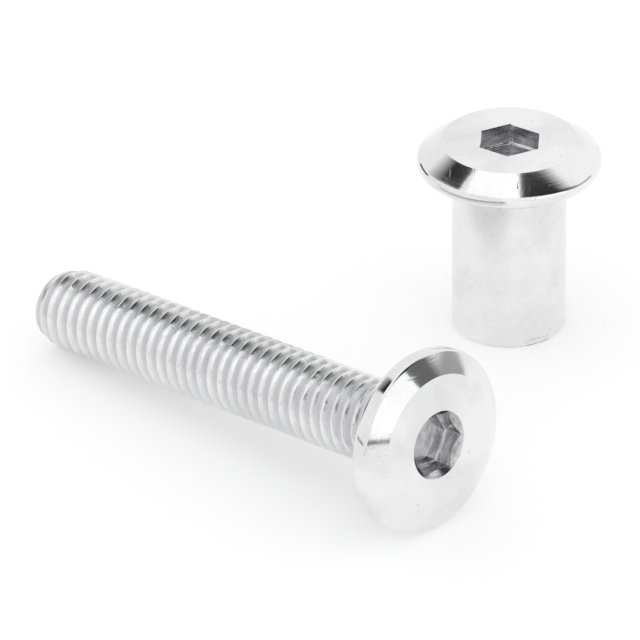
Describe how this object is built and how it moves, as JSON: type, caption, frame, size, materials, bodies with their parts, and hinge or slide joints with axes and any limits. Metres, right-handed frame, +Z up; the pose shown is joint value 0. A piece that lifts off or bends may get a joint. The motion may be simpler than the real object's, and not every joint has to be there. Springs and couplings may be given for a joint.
{
  "type": "binding barrel screw",
  "caption": "Hex socket connector screw with low bevelled head and full thread, beside its matching headed barrel nut; binds sheets or boards between their heads.",
  "frame": {"origin": "centre of the nut's open mouth, on the surface that both pieces rest on", "axes": "+Z up along the nut's axis, towards its head; the screw lies in front of the nut with its head towards +X and -Y"},
  "size_m": [0.0399, 0.0387, 0.0146],
  "materials": {
    "screw_plating": "bright plated steel",
    "nut_plating": "bright plated steel"
  },
  "bodies": {
    "root": {"hex_socket_screw": "screw_plating", "barrel_nut": "nut_plating"}
  },
  "joints": []
}
